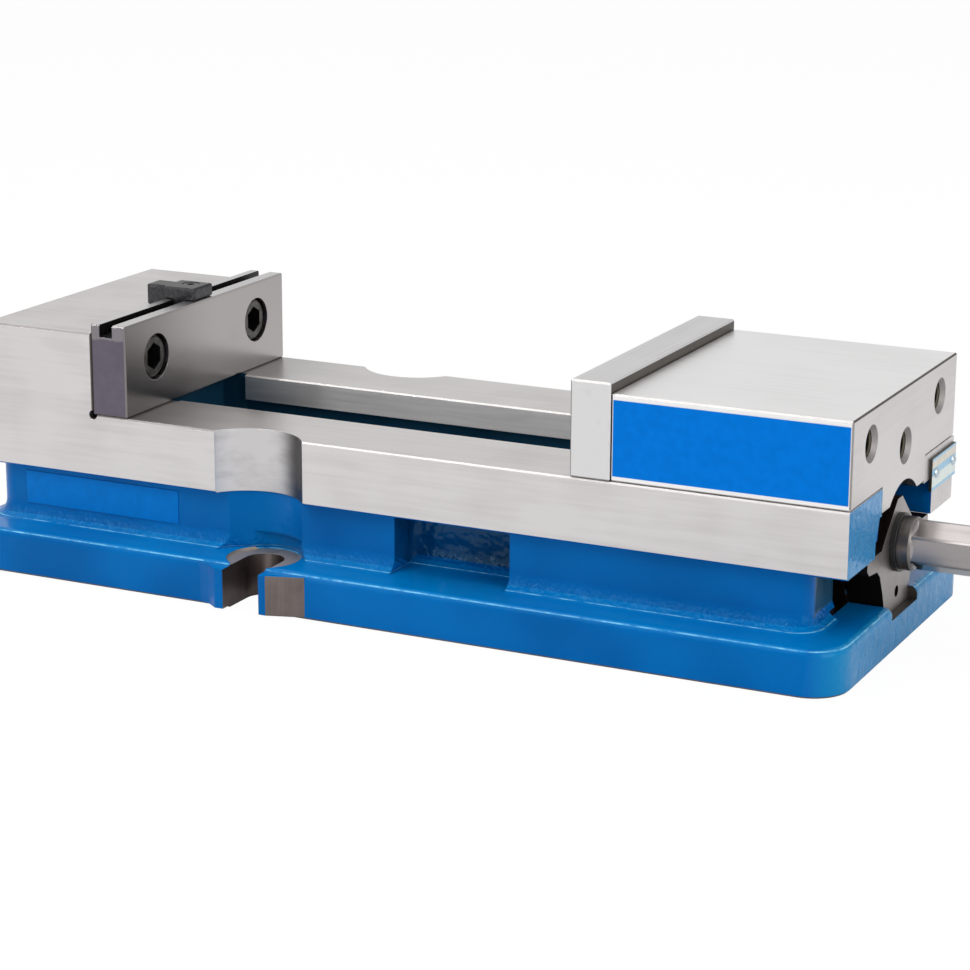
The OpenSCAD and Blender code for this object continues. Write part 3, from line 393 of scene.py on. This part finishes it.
# Black rubber, almost matt
nitrileRubber = coated("nitrileRubber", {
    "dark": "#0A0A0B", "light": "#131314", "grainMm": 0.8, "bump": 0.3, "depthMm": 0.05, "edgeMm": 0.4,
    "metallic": 0.0, "roughness": 0.4})
# Pale blue plate, bare panels where such plates are printed
anodised = panelled("anodisedAluminium", {
    "blue": "#8FBBD6", "pale": "#D3DCD8", "warm": "#CFC8BC", "grainMm": 3.0, "bottomMm": 41.5, "topMm": 51.9,
    "bands": ((0, "blue"), (0.1, "pale"), (0.46, "blue"), (0.68, "warm"), (0.92, "blue")), "roughness": 0.34})
# Domed bright rivets with a cold tint
rivetAluminium = coated("rivetAluminium", {
    "dark": "#A9B8C4", "light": "#C6CED4", "grainMm": 1.5, "bump": 0.2, "depthMm": 0.02, "edgeMm": 0.15,
    "metallic": 0.9, "roughness": 0.28})
# Plain bright blue film, satin
printedFilm = coated("printedFilm", {
    "dark": "#006CC8", "light": "#0071D0", "grainMm": 3.0, "bump": 0.1, "depthMm": 0.02, "edgeMm": 0.1,
    "metallic": 0.0, "roughness": 0.36, "tint": "#2A86D8"})
# The same film in the web's shade
bodyFilm = coated("bodyFilm", {
    "dark": "#006FBE", "light": "#0075C8", "grainMm": 3.0, "bump": 0.1, "depthMm": 0.02, "edgeMm": 0.1,
    "metallic": 0.0, "roughness": 0.36, "tint": "#2A86D8"})
# Warm stamped cage
stampedBrass = coated("stampedBrass", {
    "dark": "#B08D4A", "light": "#C7A35C", "grainMm": 1.5, "bump": 0.2, "depthMm": 0.02, "edgeMm": 0.15,
    "metallic": 1.0, "roughness": 0.3})
print("materials made")


def finish(nodeName, materials, choose=None):  # materials by name; choose names one from a face's place and normal
    mesh = nodes[nodeName].data
    mesh.materials.clear()
    for material in materials.values():
        mesh.materials.append(material)
    slots = {key: slot for slot, key in enumerate(materials)}
    for face in mesh.polygons:
        face.material_index = slots[choose(face.center / mm, face.normal)] if choose else 0


def edgeCut(n):  # a ground chamfer faces two ways at once
    return sorted(abs(v) for v in n)[1] > 0.6


# Where each finish of the casting starts and ends, in mm
bodyPlace = {"slotX": 50.4, "slotY": 51.0, "slotHalf": 6.7, "slotFrom": 44, "spotR": 12.15, "spotWallR": 11.5,
             "spotZ": (13.7, 14.5), "spotWallZ": (13.7, 18.5), "padX": (60, 71), "padZ": (0.7, 13.5), "padFrom": 62.5,
             "notchX": 48.6, "notchY": 60.7, "notchR": 19.2, "railZ": 33.52, "railCutZ": 33.92, "flangeZ": 14.58,
             "endX": 244.0, "endEnamelX": 236.5, "keywayZ": 4.6, "keywayHalf": 45, "footCutZ": 0.62, "landZ": 45.3,
             "backX": -57.1, "frontX": 246.5, "webX": 231.9, "wallX": 232.7, "bedZ": 54.0, "boreX": (219, 234),
             "boreZ": 32, "boreR": 12.2, "wallTopZ": 38, "windowHalf": 25.6, "windowZ": 26, "footHalf": 12.5,
             "footZ": 10, "footX": 231, "channelHalf": 26, "channelX": (-40, 233), "webHalf": 25, "reliefHalf": 29.1,
             "underPlateX": (-8.2, 1.1), "underPlateHalf": 22.7, "pocketX": (85, 165), "pocketZ": 17,
             "pocketY": (30, 46.5), "seatEdgeX": (-13.8, -12.9), "brightFromX": 55, "landHalf": 20.9}


# Faces that face up take the lighter enamel, painted light from above; faces towards the drive end take the enamel
# with painted light along X
def enamelFinish(c, n):
    if n.x > 0.05 and c.x > bodyPlace["endEnamelX"]:
        return "end"
    return "top" if n.z > 0.7 else "enamel"


def within(value, limits):
    return limits[0] < value < limits[1]


def bodyFinish(c, n):
    v = bodyPlace
    across = abs(c.y)
    fromSlot = math.hypot(c.x - v["slotX"], across - v["slotY"])
    if c.z < v["keywayZ"] and v["backX"] < c.x < v["frontX"] and (n.z < -0.6 or across < v["keywayHalf"]):
        return "milled"
    if c.z < v["footCutZ"] and n.z < -0.6:
        return "milled"
    if fromSlot < v["spotR"] and within(c.z, v["spotZ"]) and n.z > 0.9:
        return "spotface"
    if v["spotWallR"] < fromSlot < v["spotR"] and within(c.z, v["spotWallZ"]) and abs(n.z) < 0.3:
        return "spotface" if c.z < v["flangeZ"] + 0.5 else "enamel"
    if c.z < v["flangeZ"] + 0.05 and across > v["slotFrom"] and abs(c.x - v["slotX"]) < v["slotHalf"]:
        return "milled"
    if within(c.z, v["padZ"]) and across > v["padFrom"] and within(c.x, v["padX"]) and abs(n.z) < 0.5:
        return "milled"
    if within(c.x, v["boreX"]) and math.hypot(c.y, c.z - v["boreZ"]) < v["boreR"]:
        return "milled"
    # The bracket's seat takes the dark edge tone: painted shade
    if v["footX"] < c.x < v["frontX"] and across < v["footHalf"] and v["footZ"] < c.z < v["flangeZ"] + 0.02:
        return "darkEdge"
    # The end walls behind the bracket take the darker enamel and near black iron: painted shade
    if n.x > 0.9 and abs(c.x - v["webX"]) < 0.1 and c.z < v["railZ"]:
        return "shaded" if across > v["webHalf"] else "shadowBlack"
    if n.x > 0.9 and abs(c.x - v["wallX"]) < 0.1:
        return "shaded" if c.z > v["wallTopZ"] else "shadowBlack"
    # Inside the window it is near black: painted shadow
    inWindow = across < v["windowHalf"] and v["flangeZ"] - 0.1 < c.z < v["windowZ"]
    if v["boreX"][0] < c.x < v["wallX"] and inWindow and abs(n.x) < 0.9:
        return "shadowBlack"
    # The channel and the space under the fixed plate take the darker enamel: painted shade
    if across < v["channelHalf"] and v["flangeZ"] - 0.1 < c.z < v["landZ"] and within(c.x, v["channelX"]):
        return "shaded"
    underPlate = within(c.x, v["underPlateX"]) and across < v["underPlateHalf"]
    if underPlate and c.z < v["bedZ"] - 0.01 and not n.z > 0.9:
        return "shaded"
    # The pocket's walls take the darker enamel: painted shade
    inPocket = within(c.x, v["pocketX"]) and v["pocketZ"] < c.z < v["railZ"]
    if inPocket and (n.x > 0.7 or within(across, v["pocketY"]) and abs(n.z) < 0.5):
        return "pocket"
    # Below the rail the down-facing chamfer takes the enamel: a dark blue line of painted shadow
    if c.z < v["railZ"] or (c.z < v["railCutZ"] and n.z < -0.6):
        return enamelFinish(c, n)
    if across < v["reliefHalf"] and c.z < v["landZ"] and c.x > v["footX"]:
        return "enamel"
    if c.x > v["endX"] and n.x > 0.6 and c.y < 0:
        return "end"
    if math.hypot(c.x - v["notchX"], across - v["notchY"]) < v["notchR"] and abs(n.z) < 0.3:
        return "notch"
    # Chamfers that face up past the notch take the lighter tone, the others the darker: painted light and shade
    if edgeCut(n):
        if within(c.x, v["seatEdgeX"]):
            return "darkEdge"
        return "brightEdge" if c.x > v["brightFromX"] and n.z > 0.6 else "softEdge"
    if n.z > 0.9 and abs(c.z - v["bedZ"]) < 0.2:
        return "bed"
    return "land" if across < v["landHalf"] and abs(n.y) > 0.9 else "ground"


finish("body", {"enamel": blueEnamel, "ground": groundIron, "milled": milledIron, "shaded": shadedEnamel,
                "shadowBlack": shadowIron, "brightEdge": brightEdge, "land": landIron, "darkEdge": darkEdge,
                "notch": notchIron, "bed": bedIron, "softEdge": softEdge, "spotface": spotIron, "top": litTopEnamel,
                "end": litEndEnamel, "pocket": shadedPocketEnamel}, bodyFinish)

fixedPlatePlace = {"backEdgeX": -12.4, "grooveX": (-9.7, -4.7), "grooveZ": (79.9, 84)}


def fixedPlateFinish(c, n):
    v = fixedPlatePlace
    if c.x < v["backEdgeX"] or (within(c.x, v["grooveX"]) and within(c.z, v["grooveZ"])):
        return "oiled"
    if abs(n.y) > 0.9:
        return "scale"
    return "top" if n.z > 0.9 else "lapped"


finish("fixed_jaw_plate", {"lapped": groundSteel, "scale": plateEndSteel, "oiled": blackOxide, "top": plateTopSteel},
       fixedPlateFinish)

movablePlateBackX = 168


def movablePlateFinish(c, n):
    if n.x > 0.9 and c.x > movablePlateBackX:
        return "back"
    if abs(n.y) > 0.9:
        return "end"
    return "edge" if edgeCut(n) and c.x < movablePlateBackX else "ground"


finish("movable_jaw_plate", {"ground": lightSteel, "back": darkEdge, "edge": brightEdge, "end": swirlSteel},
       movablePlateFinish)

jawPlace = {"outerHole": (33.3, 70.5), "middleHole": (0, 62.3), "holeR": 6.4, "holeX": 219, "edgeX": 170.5,
            "edgeZ": 55, "endX": 240}


def jawFinish(c, n):
    v = jawPlace
    fromHole = min(math.hypot(abs(c.y) - holeY, c.z - holeZ) for holeY, holeZ in (v["outerHole"], v["middleHole"]))
    if c.x > v["holeX"] and fromHole < v["holeR"] and abs(n.x) < 0.9:
        return "softEdge" if abs(n.x) > 0.4 else "tapped"
    # Chamfers that face up take the lighter tone, the others darker ones: painted light and shade
    if edgeCut(n) and c.x > v["edgeX"] and c.z > v["edgeZ"]:
        if n.z > 0.6:
            return "rearEdge" if n.x > 0.6 else "edge"
        return "softEdge"
    return "end" if n.x > 0.9 and c.x > v["endX"] else "ground"


finish("movable_jaw", {"ground": jawIron, "tapped": tappedIron, "edge": brightEdge, "rearEdge": darkEdge,
                       "end": jawRearIron, "softEdge": softEdge}, jawFinish)

headFaceX = {"fixed": -1.8, "split": 80, "movable": 158.2}


def headFinish(c, n):
    onFace = c.x > headFaceX["fixed"] if c.x < headFaceX["split"] else c.x < headFaceX["movable"]
    return "face" if onFace and abs(n.x) > 0.5 else "black"


for name in ("fixed_plate_screws", "movable_plate_screws"):
    finish(name, {"black": blackOxide, "face": headOxide}, headFinish)


# The sides take near black iron on the bracket and the dark edge tone on the data plate: painted shadow
def frontFinish(c, n):  # only what faces the drive end shows its finish
    return "face" if n.x > 0.5 else "side"


finish("bearing_bracket", {"face": bracketSteel, "side": shadowIron}, frontFinish)
finish("data_plate", {"face": anodised, "side": darkEdge}, frontFinish)


def stopFinish(c, n):
    return "top" if n.z > 0.7 else "side"


stopHeadZ = 86


def stopScrewFinish(c, n):
    return "ring" if n.z > 0.6 and c.z > stopHeadZ else "black"


finish("work_stop", {"side": stopSteel, "top": stopTopSteel}, stopFinish)
finish("work_stop_screw", {"black": blackOxide, "ring": headOxide}, stopScrewFinish)

screwPlace = {"axisZ": 32, "threadEndX": 216.5, "threadR": 7.3, "shoulderX": 245.3, "shoulderEndX": 249.9,
              "shoulderR": 7.5}


def screwFinish(c, n):
    v = screwPlace
    fromAxis = math.hypot(c.y, c.z - v["axisZ"])
    if c.x < v["threadEndX"]:
        return "thread" if fromAxis > v["threadR"] and abs(n.x) < 0.3 else "turned"
    if c.x < v["shoulderX"]:
        return "turned"
    return "journal" if c.x < v["shoulderEndX"] and fromAxis > v["shoulderR"] else "hexagon"


finish("lead_screw", {"turned": turnedSteel, "journal": journalSteel, "hexagon": hexSteel, "thread": threadSteel},
       screwFinish)

plainFinishes = {"thrust_collar": blackOxide, "jaw_set_screw": blackOxide, "bracket_screws": blackOxide,
                 "bracket_pin": blackOxide, "half_ball": turnedSteel, "jaw_nut": turnedSteel,
                 "collar_pin": turnedSteel, "fixed_race": turnedSteel, "turning_race": turnedSteel,
                 "thrust_rollers": turnedSteel, "thrust_cage": stampedBrass, "seal_ring": nitrileRubber,
                 "data_plate_rivets": rivetAluminium, "jaw_label": printedFilm, "body_label": bodyFilm}
for name, material in plainFinishes.items():
    finish(name, {"all": material})
print("frame dressed")

# Camera at the photograph's own viewing angle
cameraValues = {"eyeMm": (492.825, -804.786, 278.861), "yaw": -25.796, "pitch": 15.413, "roll": 0.275,
                "lens": 105.95}


def placeCamera(values):
    yaw, pitch, roll = (math.radians(values[key]) for key in ("yaw", "pitch", "roll"))
    ahead = Vector((math.sin(yaw) * math.cos(pitch), math.cos(yaw) * math.cos(pitch), -math.sin(pitch)))
    side = Vector((math.cos(yaw), -math.sin(yaw), 0))
    up = side.cross(ahead)
    right = side * math.cos(roll) + up * math.sin(roll)
    top = -side * math.sin(roll) + up * math.cos(roll)
    data = bpy.data.cameras.new("studioCamera")
    data.lens = values["lens"]
    data.sensor_width = 36
    data.clip_start = 0.05
    data.clip_end = 20
    camera = bpy.data.objects.new("studioCamera", data)
    bpy.context.scene.collection.objects.link(camera)
    camera.matrix_world = Matrix.Translation(Vector(values["eyeMm"]) * mm) @ Matrix(
        (right, top, -ahead)).transposed().to_4x4()
    bpy.context.scene.camera = camera


placeCamera(cameraValues)

# Plain studio: pale floor, pale room, wide key, fill and top lamps, and two small ones for glints
studioValues = {"roomLight": 0.4, "seenLight": 1.0, "floorSize": 8.0, "floorPlace": (0.1, 0, -0.0002),
                "floorGlow": 0.97, "paperScale": 400.0, "paperTone": (0.93, 0.96), "aim": (0.1, 0, 0.04),
                "lamps": [("keyLamp", (-0.5, -1.15, 1.5), 1.2, 13.5), ("fillLamp", (1.35, -0.5, 0.6), 0.9, 7.5),
                          ("topLamp", (0.1, 0.25, 1.3), 1.2, 8.0), ("sparkLamp", (-0.68, -0.46, 1.43), 0.05, 3.5),
                          ("lowLamp", (-0.42, -0.97, 0.3), 0.08, 0.5)]}


def buildStudio(values):
    bpy.ops.object.select_all(action="DESELECT")
    bpy.ops.mesh.primitive_plane_add(size=values["floorSize"], location=values["floorPlace"])
    floor = bpy.context.object
    floor.name = "studioFloor"
    material, tree, output, place = startMaterial("whitePaperFloor")
    paper = addNode(tree, "ShaderNodeTexNoise", {"Scale": values["paperScale"]}, {"Vector": place})
    darkest, lightest = values["paperTone"]
    tone = addNode(tree, "ShaderNodeMapRange", {"To Min": darkest, "To Max": lightest},
                   {"Value": paper.outputs["Fac"]})
    diffuse = addNode(tree, "ShaderNodeBsdfDiffuse", {}, {"Color": tone.outputs[0]})
    glow = addNode(tree, "ShaderNodeEmission", {"Strength": 1.0})
    seen = addNode(tree, "ShaderNodeLightPath")
    share = addNode(tree, "ShaderNodeMath", {"operation": "MULTIPLY", 1: values["floorGlow"]},
                    {0: seen.outputs["Is Camera Ray"]})
    mix = addNode(tree, "ShaderNodeMixShader", {}, {0: share.outputs[0], 1: diffuse.outputs[0], 2: glow.outputs[0]})
    tree.links.new(mix.outputs[0], output.inputs["Surface"])
    floor.data.materials.append(material)

    world = bpy.data.worlds.new("studioRoom")
    world.use_nodes = True
    tree = world.node_tree
    tree.nodes.clear()
    seen = addNode(tree, "ShaderNodeLightPath")
    first = addNode(tree, "ShaderNodeMath", {"operation": "MAXIMUM"},
                    {0: seen.outputs["Is Camera Ray"], 1: seen.outputs["Is Glossy Ray"]})
    second = addNode(tree, "ShaderNodeMath", {"operation": "MAXIMUM"},
                     {0: first.outputs[0], 1: seen.outputs["Is Transmission Ray"]})
    strength = addNode(tree, "ShaderNodeMapRange", {"To Min": values["roomLight"], "To Max": values["seenLight"]},
                       {"Value": second.outputs[0]})
    background = addNode(tree, "ShaderNodeBackground", {}, {"Strength": strength.outputs[0]})
    output = addNode(tree, "ShaderNodeOutputWorld", {}, {"Surface": background.outputs[0]})
    bpy.context.scene.world = world

    for name, place, size, power in values["lamps"]:
        data = bpy.data.lights.new(name, "AREA")
        data.size = size
        data.energy = power
        lamp = bpy.data.objects.new(name, data)
        lamp.location = place
        aim = Vector(values["aim"]) - Vector(place)
        lamp.rotation_euler = aim.to_track_quat("-Z", "Y").to_euler()
        bpy.context.scene.collection.objects.link(lamp)


buildStudio(studioValues)
bpy.context.scene.view_settings.view_transform = "Standard"
print("studio set")
